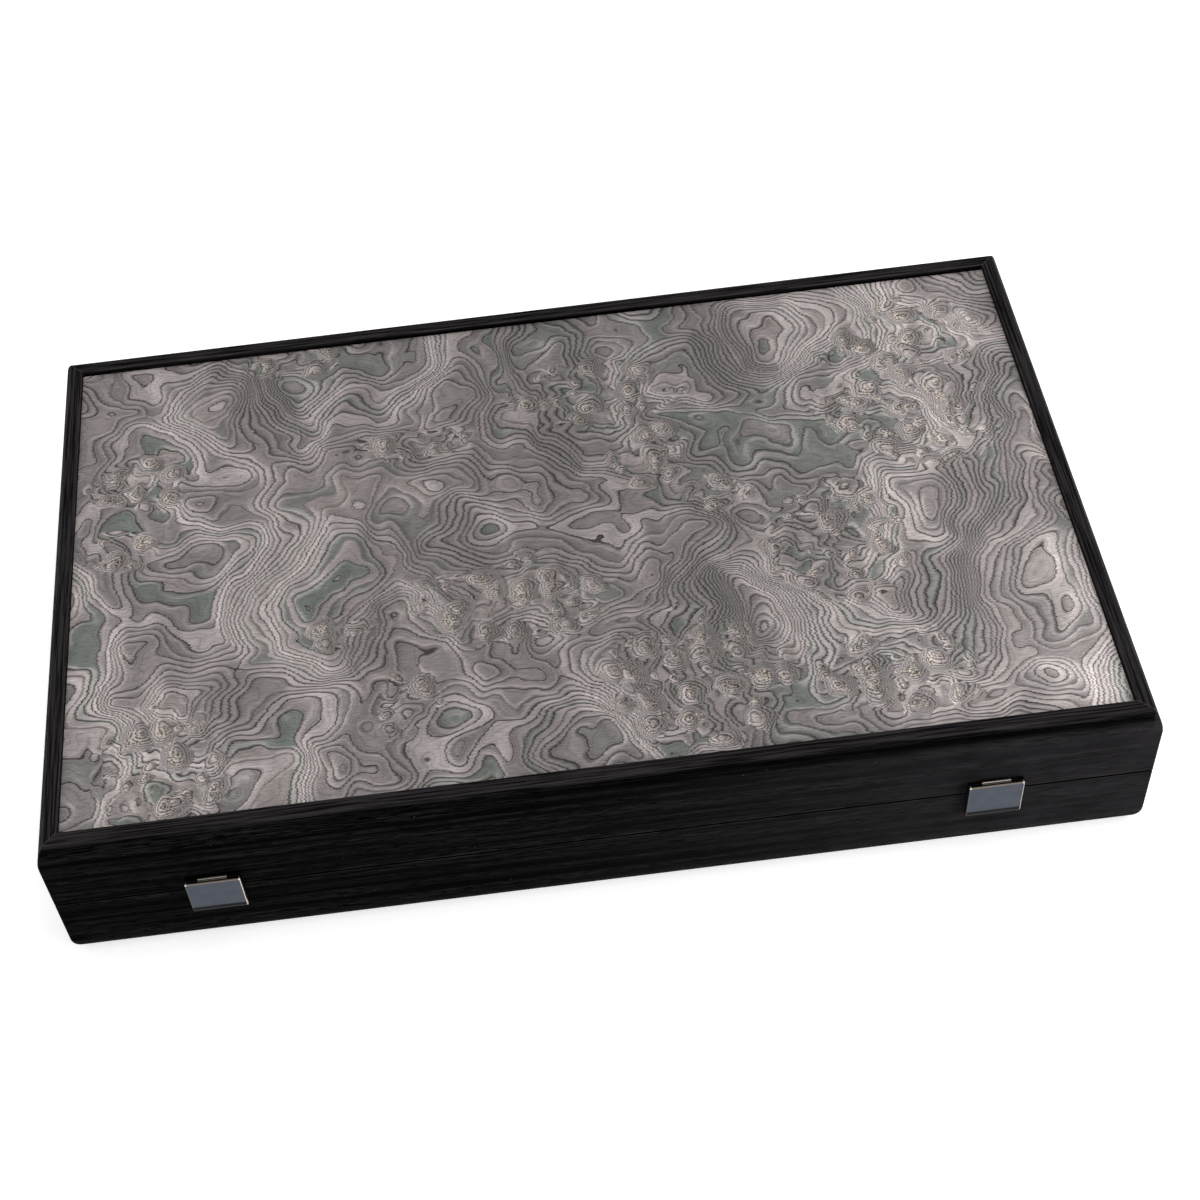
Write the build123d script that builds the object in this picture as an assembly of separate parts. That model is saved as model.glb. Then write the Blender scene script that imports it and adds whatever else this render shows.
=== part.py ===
from build123d import *
import os

# Folding backgammon case, closed, lying flat. Millimetres, +Z up, clasps towards -Y, hinges towards +Y.
# The origin is the middle of the case's footprint on the table. The base is the lower half and the lid
# is the upper half; both halves are frames of mitred rails round a grooved-in veneered panel.

# Closed case
case_length = 480.0
case_depth = 300.0
case_height = 80.0
rim_gap = 0.3

# Rail section, measured in from the outer face and up from the outer side of the panel
rail_width = 10.0
rail_round_height = 12.0
rail_round_inset = 4.0
rail_arris_radius = 0.6
rail_inner_edge_radius = 0.5
rim_chamfer = 0.3
panel_recess = 3.4
panel_groove_depth = 4.0
panel_edge_room = 0.5

# Veneered panel
core_thickness = 4.8
burl_thickness = 0.6
field_veneer_thickness = 0.6

# Playing field
points_per_side = 6
point_length = 190.0
point_side_gap = 1.2

# Checkers, dice and the racks that hold them
checker_diameter = 36.0
checker_thickness = 9.0
checkers_per_colour = 15
checker_gap = 0.2
checker_end_gap = 2.0
rest_gap = 0.05
rack_side_room = 2.0
rack_finger_room = 30.0
partition_thickness = 10.0
divider_thickness = 6.0
dice_size = 14.0
dice_edge = 1.2
dice_spacing = 26.0
dice_turns = (12.0, -27.0)

# Butt hinges let into the rims of the two back rails
hinge_end_distance = 85.0
hinge_length = 35.0
hinge_leaf_depth = 8.5
hinge_leaf_thickness = 1.0
hinge_knuckles = 5
hinge_knuckle_radius = 2.2
hinge_pin_radius = 1.1
hinge_pin_clearance = 0.05
hinge_knuckle_side_gap = 0.3
hinge_barrel_clearance = 0.3
hinge_mortise_clearance = 0.1
hinge_groove_end_room = 1.0
back_face_gap = 0.5
hinge_screws_per_leaf = 2
hinge_screw_head_radius = 1.9
hinge_screw_length = 9.0

# Clasps on the front, heights measured from the seam between the halves
clasp_end_distance = 70.0
clasp_width = 24.0
clasp_sheet = 0.8
clasp_proud = 4.0
clasp_above_seam = 9.0
clasp_flat_below_seam = 11.0
clasp_curl_radius = 2.5
clasp_edge_radius = 0.4
clasp_wood_gap = 0.3
clasp_pivot_drop = 0.9
clasp_pivot_out = 1.6
clasp_knuckle_radius = 1.3
clasp_knuckle_width = 12.5
clasp_pin_radius = 0.5
clasp_pin_clearance = 0.05
clasp_pin_fit = 0.01
clasp_side_clearance = 0.4
clasp_mount_bottom = 1.0
clasp_mount_corner = 1.2
clasp_mount_shoulder_drop = 1.7
clasp_snap_gap = 0.15
clasp_catch_top = 1.5
clasp_catch_width = 17.0
clasp_catch_lip_gap = 0.4
clasp_nose_height = 1.1
clasp_nose_ramp = 1.7
clasp_screw_head_radius = 1.5
clasp_screw_spacing = 11.0
clasp_screw_length = 7.0

# Screws
screw_hole_clearance = 0.05

# Places that follow from the sizes above
seam_height = case_height / 2
rim_height = seam_height - rim_gap / 2
panel_thickness = core_thickness + burl_thickness + field_veneer_thickness
floor_height = panel_recess + panel_thickness
inner_length = case_length - 2 * rail_width
inner_depth = case_depth - 2 * rail_width
panel_overlap = panel_groove_depth - panel_edge_room
panel_length = inner_length + 2 * panel_overlap
panel_depth = inner_depth + 2 * panel_overlap
front_inner = -inner_depth / 2
rack_depth = checker_diameter + 2 * rack_side_room
rack_middle = front_inner + rack_depth / 2
partition_middle = front_inner + rack_depth + partition_thickness / 2
field_front = partition_middle + partition_thickness / 2
field_depth = inner_depth / 2 - field_front
point_pitch = field_depth / points_per_side
checker_pitch = checker_thickness + checker_gap
checker_row = checkers_per_colour * checker_pitch - checker_gap
divider_outer = inner_length / 2 - checker_end_gap - checker_row - rack_finger_room
divider_middle = divider_outer - divider_thickness / 2
hinge_x = case_length / 2 - hinge_end_distance
hinge_axis_y = case_depth / 2 + back_face_gap / 2
hinge_pitch = hinge_length / hinge_knuckles
hinge_barrel_length = hinge_length - hinge_knuckle_side_gap
leaf_inner_y = case_depth / 2 - hinge_leaf_depth
leaf_flat_edge_y = hinge_axis_y - hinge_knuckle_radius - hinge_barrel_clearance
hinge_screw_y = (leaf_inner_y + leaf_flat_edge_y) / 2
hinge_screw_pitch = hinge_length / hinge_screws_per_leaf
hinge_screw_size = (hinge_screw_head_radius, hinge_leaf_thickness, hinge_screw_length)
clasp_screw_size = (clasp_screw_head_radius, clasp_sheet, clasp_screw_length)
clasp_x = case_length / 2 - clasp_end_distance
clasp_top = seam_height + clasp_above_seam
clasp_curl_start = seam_height - clasp_flat_below_seam
clasp_bottom = clasp_curl_start - clasp_curl_radius
clasp_pivot_height = clasp_top - clasp_pivot_drop
clasp_inner_width = clasp_width - 2 * clasp_sheet
clasp_mount_width = clasp_inner_width - 2 * clasp_side_clearance
clasp_shoulder = clasp_pivot_height - clasp_mount_shoulder_drop
clasp_mount_screw_height = (seam_height + clasp_mount_bottom + clasp_shoulder) / 2
catch_nose_bottom = clasp_bottom + clasp_sheet + clasp_catch_lip_gap
catch_nose_out = clasp_proud - clasp_curl_radius - clasp_snap_gap
catch_ramp_top = catch_nose_bottom + clasp_nose_height + clasp_nose_ramp
catch_plate_top = seam_height - clasp_catch_top
catch_screw_height = (catch_plate_top + catch_ramp_top) / 2


def block(length, depth, height, x=0.0, y=0.0, bottom=0.0):
    """A box centred on x and y, standing on the height bottom."""
    return Pos(x, y, bottom + height / 2) * Box(length, depth, height)


def bar_along_x(radius, length, y, z, x=0.0):
    """A round bar along X with its middle at x, y, z."""
    return Pos(x, y, z) * Rot(0, 90, 0) * Cylinder(radius, length)


def to_lid(shape):
    """The same piece in the upper half: its mirror image in the seam plane."""
    return mirror(shape, about=Plane.XY.offset(seam_height))


def front(out):
    """The Y of a point that stands this far out from the front face."""
    return -case_depth / 2 - out


# Screws


def screw(head_radius, plate, length, clearance=0.0):
    """A countersunk screw pointing down, its head as deep as the plate it holds, or the hole for it."""
    rim = head_radius + clearance
    shank = rim - plate
    shank_length = length + clearance - plate
    head = Pos(0, 0, -plate / 2) * Cone(shank, rim, plate)
    return head + Pos(0, 0, -plate - shank_length / 2) * Cylinder(shank, shank_length)


def hinge_screw_places():
    """Seats of the screws of one leaf of each hinge, at the rim of the lower half."""
    places = []
    for side in (-1, 1):
        for index in range(hinge_screws_per_leaf):
            shift = (index - (hinge_screws_per_leaf - 1) / 2) * hinge_screw_pitch
            places.append(Pos(side * hinge_x + shift, hinge_screw_y, rim_height))
    return places


def clasp_screw_places(height):
    """Seats of the screws that hold one plate of each clasp, heads facing out of the front."""
    places = []
    for middle in (-clasp_x, clasp_x):
        for side in (-1, 1):
            place = Pos(middle + side * clasp_screw_spacing / 2, front(clasp_sheet), height)
            places.append(place * Rot(90, 0, 0))
    return places


def screw_holes(places, size):
    """Holes for screws at these places, a little wider than the screws."""
    hole = screw(*size, screw_hole_clearance)
    return [place * hole for place in places]


def screw_set(places, size):
    """The screws at these places, as one group."""
    return Compound([place * screw(*size) for place in places])


# Frame rails


def rail_section():
    """Lower rail: outer face at 0 on the first axis, inner face at rail_width, table at 0 on the second."""
    with BuildSketch() as section:
        with BuildLine():
            Polyline(
                (rail_round_inset, 0),
                (rail_width, 0),
                (rail_width, rim_height),
                (rim_chamfer, rim_height),
                (0, rim_height - rim_chamfer),
                (0, rail_round_height),
            )
            TangentArc((0, rail_round_height), (rail_round_inset, 0), tangent=(0, -1))
        make_face()
        corners = section.vertices()
        fillet(corners.sort_by_distance((rail_round_inset, 0))[0], rail_arris_radius)
        corners = section.vertices()
        fillet(corners.sort_by_distance((rail_width, 0))[0], rail_inner_edge_radius)
        with Locations((rail_width - panel_groove_depth, panel_recess)):
            Rectangle(
                panel_groove_depth,
                panel_thickness,
                align=(Align.MIN, Align.MIN),
                mode=Mode.SUBTRACT,
            )
    return section.sketch


def mitred_rail(length):
    """A lower rail along X with its outer face at Y 0, mitred at both ends."""
    stock = extrude(Plane.YZ * rail_section(), length / 2, both=True)
    half = length / 2
    plan = Polygon(
        (-half, 0),
        (half, 0),
        (half - rail_width, rail_width),
        (rail_width - half, rail_width),
        align=None,
    )
    return stock & extrude(plan, rim_height)


def frame_rails():
    """The four lower rails by the side they stand on, before anything is cut into them."""
    long_rail = mitred_rail(case_length)
    short_rail = mitred_rail(case_depth)
    return {
        "front": Pos(0, -case_depth / 2, 0) * long_rail,
        "back": Pos(0, case_depth / 2, 0) * Rot(0, 0, 180) * long_rail,
        "left": Pos(-case_length / 2, 0, 0) * Rot(0, 0, -90) * short_rail,
        "right": Pos(case_length / 2, 0, 0) * Rot(0, 0, 90) * short_rail,
    }


def hinge_mortises():
    """What is cut from the rim of a lower back rail to let the hinges in."""
    cuts = screw_holes(hinge_screw_places(), hinge_screw_size)
    groove_radius = hinge_knuckle_radius + hinge_barrel_clearance
    groove_length = hinge_length + 2 * hinge_groove_end_room
    mortise_length = hinge_length + 2 * hinge_mortise_clearance
    mortise_depth = hinge_leaf_depth + hinge_mortise_clearance
    for middle in (-hinge_x, hinge_x):
        cuts.append(bar_along_x(groove_radius, groove_length, hinge_axis_y, seam_height, middle))
        mortise = block(
            mortise_length,
            mortise_depth,
            hinge_leaf_thickness,
            x=middle,
            y=case_depth / 2 - mortise_depth / 2,
            bottom=rim_height - hinge_leaf_thickness,
        )
        cuts.append(mortise)
    return cuts


# Panels and playing field


def panel_layer(bottom, thickness):
    """One full layer of the panel that sits in the rails' grooves."""
    return block(panel_length, panel_depth, thickness, bottom=bottom)


def points():
    """The inlaid points of the lower half as two lists, alternating along a side and across the board."""
    even = []
    odd = []
    half_base = point_pitch / 2 - point_side_gap / 2
    for side in (-1, 1):
        for index in range(points_per_side):
            middle = inner_depth / 2 - (index + 0.5) * point_pitch
            base = side * inner_length / 2
            outline = Polygon(
                (base, middle - half_base),
                (base, middle + half_base),
                (base - side * point_length, middle),
                align=None,
            )
            inlay = extrude(outline, field_veneer_thickness, dir=(0, 0, 1))
            inlay = Pos(0, 0, floor_height - field_veneer_thickness) * inlay
            group = even if (index + (side + 1) // 2) % 2 == 0 else odd
            group.append(inlay)
    return even, odd


# Racks


def rack_partition():
    """The strip between the playing field and the rack."""
    height = rim_height - floor_height
    return block(inner_length, partition_thickness, height, y=partition_middle, bottom=floor_height)


def rack_dividers():
    """The two short strips that part the checker racks from the dice well."""
    height = rim_height - floor_height
    strips = []
    for side in (-1, 1):
        x = side * divider_middle
        strips.append(block(divider_thickness, rack_depth, height, x=x, y=rack_middle, bottom=floor_height))
    return Compound(strips)


def checker_row_at(side):
    """The checkers of one colour, on edge in a row from the side rail inwards."""
    standing = Rot(0, 90, 0) * Cylinder(checker_diameter / 2, checker_thickness)
    height = floor_height + rest_gap + checker_diameter / 2
    first = inner_length / 2 - checker_end_gap - checker_thickness / 2
    row = []
    for index in range(checkers_per_colour):
        row.append(Pos(side * (first - index * checker_pitch), rack_middle, height) * standing)
    return Compound(row)


def dice_pair():
    """Two dice lying in the dice well."""
    cube = Box(dice_size, dice_size, dice_size)
    cube = chamfer(cube.edges(), dice_edge)
    height = floor_height + dice_size / 2
    pair = []
    for side, turn in zip((-1, 1), dice_turns):
        pair.append(Pos(side * dice_spacing / 2, rack_middle, height) * Rot(0, 0, turn) * cube)
    return Compound(pair)


# Hinges


def hinge_leaf(own_first):
    """A lower leaf with every second knuckle, starting at the first or the second one."""
    leaf_depth = hinge_axis_y - leaf_inner_y
    leaf_bottom = rim_height - hinge_leaf_thickness
    leaf_y = leaf_inner_y + leaf_depth / 2
    leaf = block(hinge_barrel_length, leaf_depth, hinge_leaf_thickness, y=leaf_y, bottom=leaf_bottom)
    own_length = hinge_pitch - hinge_knuckle_side_gap
    notch_length = hinge_pitch + hinge_knuckle_side_gap
    notch_depth = hinge_axis_y - leaf_flat_edge_y
    for index in range(hinge_knuckles):
        x = (index - (hinge_knuckles - 1) / 2) * hinge_pitch
        if (index % 2 == 0) == own_first:
            leaf += bar_along_x(hinge_knuckle_radius, own_length, hinge_axis_y, seam_height, x)
        else:
            notch_y = leaf_flat_edge_y + notch_depth / 2
            leaf -= block(notch_length, notch_depth, hinge_leaf_thickness, x, notch_y, leaf_bottom)
    bore = hinge_pin_radius + hinge_pin_clearance
    leaf -= bar_along_x(bore, hinge_length, hinge_axis_y, seam_height)
    seat = screw(*hinge_screw_size, screw_hole_clearance)
    for index in range(hinge_screws_per_leaf):
        shift = (index - (hinge_screws_per_leaf - 1) / 2) * hinge_screw_pitch
        leaf -= Pos(shift, hinge_screw_y, rim_height) * seat
    return leaf


def hinge_pin():
    """The pin through the knuckles, as long as the barrel."""
    return bar_along_x(hinge_pin_radius, hinge_barrel_length, hinge_axis_y, seam_height)


# Clasps


def flap_outline(inner_edge):
    """Side view of the flap's outer skin down to the lip, closed by the given inner edge."""
    with BuildSketch(Plane.YZ) as outline:
        with BuildLine():
            Line((front(clasp_proud), clasp_top), (front(clasp_proud), clasp_curl_start))
            RadiusArc(
                (front(clasp_proud), clasp_curl_start),
                (front(clasp_proud - clasp_curl_radius), clasp_bottom),
                -clasp_curl_radius,
            )
            inner_edge()
        make_face()
    return outline.sketch


def sheet_inner_edge():
    """The inner side of the bent sheet, from the lip back up to the top."""
    inner_radius = clasp_curl_radius - clasp_sheet
    inner_y = front(clasp_proud - clasp_sheet)
    lip_y = front(clasp_proud - clasp_curl_radius)
    Line((lip_y, clasp_bottom), (lip_y, clasp_bottom + clasp_sheet))
    RadiusArc((lip_y, clasp_bottom + clasp_sheet), (inner_y, clasp_curl_start), inner_radius)
    Polyline((inner_y, clasp_curl_start), (inner_y, clasp_top), (front(clasp_proud), clasp_top))


def flange_inner_edge():
    """The back edge of a side flange, which stays clear of the wood as the flap turns."""
    back_y = front(clasp_wood_gap)
    Polyline(
        (front(clasp_proud - clasp_curl_radius), clasp_bottom),
        (back_y, clasp_curl_start),
        (back_y, clasp_pivot_height),
        (front(clasp_wood_gap + clasp_pivot_drop), clasp_top),
        (front(clasp_proud), clasp_top),
    )


def clasp_flap():
    """The pressed flap: front plate, curled lip and two side flanges with pin holes."""
    flap = extrude(flap_outline(sheet_inner_edge), clasp_width / 2, both=True)
    flange = extrude(flap_outline(flange_inner_edge), clasp_sheet / 2, both=True)
    for side in (-1, 1):
        flap += Pos(side * (clasp_width - clasp_sheet) / 2, 0, 0) * flange
    outer_edges = []
    for edge in flap.edges():
        box = edge.bounding_box()
        on_side = abs(abs(edge.center().X) - clasp_width / 2) < 0.01
        on_front = box.min.Y < front(clasp_proud - clasp_curl_radius) - 0.01
        on_top = box.min.Z > clasp_top - 0.01
        on_front_top = on_top and box.max.Y < front(clasp_proud) + 0.01
        if (on_side and on_front) or on_front_top:
            outer_edges.append(edge)
    flap = fillet(outer_edges, clasp_edge_radius)
    hole = clasp_pin_radius + clasp_pin_fit
    return flap - bar_along_x(hole, clasp_width, front(clasp_pivot_out), clasp_pivot_height)


def clasp_pin():
    """The pin held in the flap's flanges."""
    return bar_along_x(clasp_pin_radius, clasp_width, front(clasp_pivot_out), clasp_pivot_height)


def clasp_mount():
    """The plate on the lid whose rolled tongue carries the pin."""
    bottom = seam_height + clasp_mount_bottom
    plate = block(
        clasp_mount_width,
        clasp_sheet,
        clasp_shoulder - bottom,
        y=front(clasp_sheet / 2),
        bottom=bottom,
    )
    plate = fillet(plate.edges().filter_by(Axis.Y), clasp_mount_corner)
    tongue = block(
        clasp_knuckle_width,
        clasp_sheet,
        clasp_pivot_height - bottom,
        y=front(clasp_sheet / 2),
        bottom=bottom,
    )
    pivot_y = front(clasp_pivot_out)
    roll = bar_along_x(clasp_knuckle_radius, clasp_knuckle_width, pivot_y, clasp_pivot_height)
    bore = clasp_pin_radius + clasp_pin_clearance
    mount = plate + tongue + roll - bar_along_x(bore, clasp_width, pivot_y, clasp_pivot_height)
    return mount - clasp_plate_holes(clasp_mount_screw_height)


def clasp_catch():
    """The plate on the base with the ramped nose that the flap's lip snaps under."""
    with BuildPart() as catch:
        with BuildSketch(Plane.YZ):
            with BuildLine():
                Polyline(
                    (front(0), catch_nose_bottom),
                    (front(0), catch_plate_top),
                    (front(clasp_sheet), catch_plate_top),
                    (front(clasp_sheet), catch_ramp_top),
                    (front(catch_nose_out), catch_nose_bottom + clasp_nose_height),
                    (front(catch_nose_out), catch_nose_bottom),
                    close=True,
                )
            make_face()
        extrude(amount=clasp_catch_width / 2, both=True)
        top_corners = catch.edges().filter_by(Axis.Y).group_by(Axis.Z)[-1]
        fillet(top_corners, clasp_mount_corner)
    return catch.part - clasp_plate_holes(catch_screw_height)


def clasp_plate_holes(height):
    """Countersunk holes for the screws of one clasp plate."""
    hole = Rot(90, 0, 0) * screw(*clasp_screw_size, screw_hole_clearance)
    return [Pos(side * clasp_screw_spacing / 2, front(clasp_sheet), height) * hole for side in (-1, 1)]


# All nodes


def build_nodes():
    """Every node of the case by name."""
    nodes = {}
    rails = frame_rails()
    mount_screws = clasp_screw_places(clasp_mount_screw_height)
    catch_screws = clasp_screw_places(catch_screw_height)
    rails["back"] -= hinge_mortises()
    for name, rail in rails.items():
        nodes["base_" + name + "_rail"] = rail
        nodes["lid_" + name + "_rail"] = to_lid(rail)
    nodes["base_front_rail"] -= screw_holes(catch_screws, clasp_screw_size)
    nodes["lid_front_rail"] -= screw_holes(mount_screws, clasp_screw_size)

    even_points, odd_points = points()
    lower_half = {
        "burl_veneer": panel_layer(panel_recess, burl_thickness),
        "panel_core": panel_layer(panel_recess + burl_thickness, core_thickness),
        "field_veneer": panel_layer(floor_height - field_veneer_thickness, field_veneer_thickness)
        - even_points
        - odd_points,
        "rack_partition": rack_partition(),
        "rack_dividers": rack_dividers(),
    }
    for name, piece in lower_half.items():
        nodes["base_" + name] = piece
        nodes["lid_" + name] = to_lid(piece)
    nodes["base_points_dark"] = Compound(even_points)
    nodes["base_points_light"] = Compound(odd_points)
    nodes["lid_points_dark"] = to_lid(Compound(odd_points))
    nodes["lid_points_light"] = to_lid(Compound(even_points))

    nodes["checkers_dark"] = checker_row_at(-1)
    nodes["checkers_light"] = checker_row_at(1)
    nodes["dice"] = dice_pair()

    hinge_screws = screw_set(hinge_screw_places(), hinge_screw_size)
    nodes["hinge_base_screws"] = hinge_screws
    nodes["hinge_lid_screws"] = to_lid(hinge_screws)
    nodes["clasp_mount_screws"] = screw_set(mount_screws, clasp_screw_size)
    nodes["clasp_catch_screws"] = screw_set(catch_screws, clasp_screw_size)

    hinge_pieces = {
        "base_leaf": hinge_leaf(True),
        "lid_leaf": to_lid(hinge_leaf(False)),
        "pin": hinge_pin(),
    }
    clasp_pieces = {
        "flap": clasp_flap(),
        "pin": clasp_pin(),
        "mount": clasp_mount(),
        "catch": clasp_catch(),
    }
    for side_name, side in (("left", -1), ("right", 1)):
        for name, piece in hinge_pieces.items():
            nodes["hinge_" + side_name + "_" + name] = Pos(side * hinge_x, 0, 0) * piece
        for name, piece in clasp_pieces.items():
            nodes["clasp_" + side_name + "_" + name] = Pos(side * clasp_x, 0, 0) * piece
    return nodes


os.makedirs("parts", exist_ok=True)
for node_name, shape in build_nodes().items():
    export_step(shape, "parts/" + node_name + ".step")
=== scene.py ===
import logging
import math
from dataclasses import dataclass
from enum import Enum
from typing import Callable, Sequence, Union

import bmesh
import bpy
from mathutils import Matrix, Vector


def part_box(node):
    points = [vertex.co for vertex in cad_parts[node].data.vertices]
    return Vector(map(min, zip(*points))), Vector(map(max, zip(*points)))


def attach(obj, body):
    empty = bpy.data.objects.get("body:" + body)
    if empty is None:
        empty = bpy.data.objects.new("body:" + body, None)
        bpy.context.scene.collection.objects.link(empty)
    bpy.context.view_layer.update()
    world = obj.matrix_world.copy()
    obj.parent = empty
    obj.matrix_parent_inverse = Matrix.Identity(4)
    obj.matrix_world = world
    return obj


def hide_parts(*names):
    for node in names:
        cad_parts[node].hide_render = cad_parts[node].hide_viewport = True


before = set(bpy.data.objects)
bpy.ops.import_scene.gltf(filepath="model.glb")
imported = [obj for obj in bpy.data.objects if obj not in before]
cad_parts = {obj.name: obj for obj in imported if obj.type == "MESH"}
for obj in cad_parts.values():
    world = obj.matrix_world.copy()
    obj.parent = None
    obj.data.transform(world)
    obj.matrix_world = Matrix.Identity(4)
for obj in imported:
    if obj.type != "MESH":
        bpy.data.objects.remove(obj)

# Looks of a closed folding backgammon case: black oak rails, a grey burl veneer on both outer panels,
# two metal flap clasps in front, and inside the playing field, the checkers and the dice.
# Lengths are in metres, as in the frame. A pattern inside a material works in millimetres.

LOG = logging.getLogger("backgammon_case")
MM = 0.001
HALF_LENGTH = 240.0  # of the closed case, in millimetres
HALF_DEPTH = 150.0  # of the closed case, in millimetres
SEAM = 40.0  # height of the seam between the halves, in millimetres
HALVES = ("base", "lid")
SIDES = ("left", "right")
ANY_HEIGHT = 1e6  # a reach in Z that no sheet comes near, so that a placed pattern reads only X and Y
CREASE = 30.0  # least angle of an edge that stays sharp, in degrees

Socket = bpy.types.NodeSocket
Feed = Union[Socket, float, Sequence[float]]
Triple = tuple[float, float, float]
Colour = Triple


def srgb(red: int, green: int, blue: int) -> Colour:
    """Turns a colour in sRGB steps of 0 to 255 into linear light.

    Args:
        red: Red step.
        green: Green step.
        blue: Blue step.

    Returns:
        The three linear values.
    """
    def linear(step: int) -> float:
        """One channel in linear light."""
        share = step / 255
        return share / 12.92 if share <= 0.04045 else ((share + 0.055) / 1.055) ** 2.4

    return linear(red), linear(green), linear(blue)


class Graph:
    """Adds and joins the nodes of one material or node group."""

    def __init__(self, tree: bpy.types.NodeTree) -> None:
        """Starts on a node tree."""
        self.tree = tree

    def feed(self, socket: Socket, value: Feed) -> None:
        """Joins or sets one input.

        Args:
            socket: The input to feed.
            value: Another node's output, or a constant.
        """
        if isinstance(value, Socket):
            self.tree.links.new(value, socket)
        elif socket.type == "RGBA" and len(value) == 3:
            socket.default_value = (*value, 1.0)
        else:
            socket.default_value = value

    def node(self, kind: str, inputs: dict | None = None, **settings: object) -> bpy.types.Node:
        """Adds a node.

        Args:
            kind: Blender's node type, without its ShaderNode prefix.
            inputs: Feeds by input name or number.
            **settings: Properties of the node.

        Returns:
            The new node.
        """
        made = self.tree.nodes.new("ShaderNode" + kind)
        for name, value in settings.items():
            setattr(made, name, value)
        for key, value in (inputs or {}).items():
            self.feed(made.inputs[key], value)
        return made

    def math(self, operation: str, *feeds: Feed, clamp: bool = False) -> Socket:
        """Adds a Math node; clamp keeps its result between 0 and 1."""
        return self.node("Math", dict(enumerate(feeds)), operation=operation, use_clamp=clamp).outputs[0]

    def times(self, first: Feed, second: Feed) -> Socket:
        """Multiplies two numbers."""
        return self.math("MULTIPLY", first, second)

    def scaled(self, value: Feed, factor: Feed, base: Feed) -> Socket:
        """Multiplies a value by a factor and adds a base."""
        return self.math("MULTIPLY_ADD", value, factor, base)

    def off(self, value: Feed, centre: float) -> Socket:
        """How far a value is from a centre, either way."""
        return self.math("ABSOLUTE", self.math("SUBTRACT", value, centre))

    def vector(self, operation: str, *feeds: Feed) -> Socket:
        """Adds a Vector Math node.

        Args:
            operation: The operation's name.
            *feeds: Its operands; SCALE takes the factor second.

        Returns:
            The vector, or the number for LENGTH and DOT_PRODUCT.
        """
        keys = (0, 3) if operation == "SCALE" else (0, 1, 2)
        made = self.node("VectorMath", dict(zip(keys, feeds)), operation=operation)
        return made.outputs[1 if operation in ("LENGTH", "DOT_PRODUCT") else 0]

    def axes(self, vector: Feed) -> bpy.types.bpy_prop_collection:
        """Splits a coordinate into X, Y and Z."""
        return self.node("SeparateXYZ", {0: vector}).outputs

    def pushed(self, vector: Feed, amount: Feed, axis: int) -> Socket:
        """Adds an amount to one axis of a coordinate."""
        return self.vector("ADD", vector, self.node("CombineXYZ", {axis: amount}).outputs[0])

    def mapped(self, vector: Feed, location: Sequence[float] = (0, 0, 0), turn: float = 0.0,
               scale: Sequence[float] = (1, 1, 1), kind: str = "POINT") -> Socket:
        """Moves, turns and scales a coordinate.

        Args:
            vector: The coordinate.
            location: Shift, or the pattern's centre for a TEXTURE mapping.
            turn: Turn about Z in degrees.
            scale: Scale along the three axes.
            kind: The Mapping node's type.

        Returns:
            The mapped coordinate.
        """
        made = self.node("Mapping", {"Vector": vector, "Location": location, "Scale": scale,
                                     "Rotation": (0, 0, math.radians(turn))}, vector_type=kind)
        return made.outputs[0]

    def spot(self, shift: Triple = (0, 0, 0), turn: float = 0.0, flip: float = 1.0) -> Socket:
        """Reads the place on the case in millimetres; a flip of -1 mirrors the pattern from front to back."""
        place = self.node("TexCoord").outputs["Object"]
        return self.mapped(place, shift, turn, (1 / MM, flip / MM, 1 / MM))

    def noise(self, vector: Feed, size: float, detail: float = 2.0, roughness: float = 0.5,
              colour: bool = False, flat: bool = False) -> Socket:
        """Adds a Noise Texture.

        Args:
            vector: The coordinate.
            size: Rough size of its blotches, in the coordinate's unit.
            detail: Number of finer layers.
            roughness: Strength of the finer layers.
            colour: Whether three numbers are wanted in place of one.
            flat: Whether it reads only X and Y, as on a sheet.

        Returns:
            Values from 0 to 1 about 0.5.
        """
        made = self.node("TexNoise", {"Vector": vector, "Scale": 1 / size, "Detail": detail,
                                      "Roughness": roughness}, noise_dimensions="2D" if flat else "3D")
        return made.outputs["Color" if colour else "Fac"]

    def swing(self, vector: Feed, size: float, detail: float = 0.0) -> Socket:
        """A noise on a sheet, as values from -0.5 to 0.5."""
        return self.math("SUBTRACT", self.noise(vector, size, detail, flat=True), 0.5)

    def stir(self, vector: Feed, size: float) -> Socket:
        """A noise of three numbers on a sheet, each from -0.5 to 0.5."""
        return self.vector("SUBTRACT", self.noise(vector, size, 1.0, colour=True, flat=True), (0.5, 0.5, 0.5))

    def cells(self, vector: Feed, size: float, flat: bool = False) -> tuple[Socket, Socket]:
        """Adds a Voronoi Texture.

        Args:
            vector: The coordinate.
            size: Size of its cells, in the coordinate's unit.
            flat: Whether it reads only X and Y, as on a sheet.

        Returns:
            The distance from a cell's middle, in cells, and a number from 0 to 1 that is the cell's own.
        """
        made = self.node("TexVoronoi", {"Vector": vector, "Scale": 1 / size}, feature="F1",
                         voronoi_dimensions="2D" if flat else "3D")
        return made.outputs["Distance"], self.node("SeparateColor", {0: made.outputs["Color"]}).outputs[0]

    def draw(self, number: Feed) -> Socket:
        """A random number from 0 to 1 for each whole number."""
        return self.node("TexWhiteNoise", {"W": number}, noise_dimensions="1D").outputs["Value"]

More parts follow.
